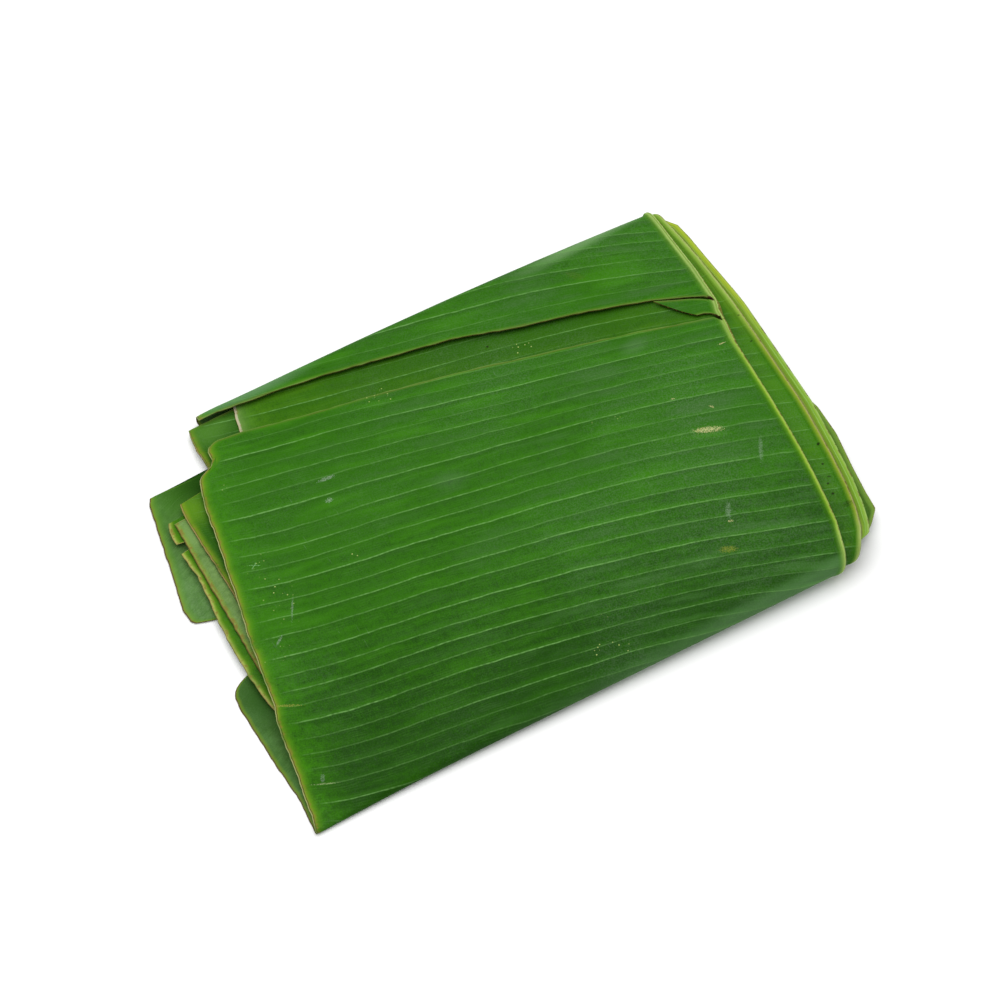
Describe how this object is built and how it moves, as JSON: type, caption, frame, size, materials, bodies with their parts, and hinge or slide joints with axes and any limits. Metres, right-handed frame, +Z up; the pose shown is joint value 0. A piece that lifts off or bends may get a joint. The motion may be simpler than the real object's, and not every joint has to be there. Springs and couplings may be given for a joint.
{
  "type": "folded banana leaf",
  "caption": "Flat pack of long banana leaf half blades folded over each other, torn along a vein near the back fold, lying on its underside.",
  "frame": {"origin": "middle of the folded pack's box, on the surface that it lies on", "axes": "+X along the veins from the leaf margins to the midrib edges, +Y from the front fold to the back fold, +Z up"},
  "size_m": [0.3218, 0.2278, 0.0246],
  "materials": {
    "outer_leaf": "waxy dark green leaf, veined, satin",
    "second_leaf": "waxy green leaf, veined, yellower at the midrib edge",
    "third_leaf": "waxy green leaf, pale underside",
    "fourth_leaf": "waxy green leaf, pale grey-green underside"
  },
  "bodies": {
    "root": {"outer_leaf": "outer_leaf", "second_leaf": "second_leaf", "third_leaf": "third_leaf", "fourth_leaf": "fourth_leaf"}
  },
  "joints": []
}
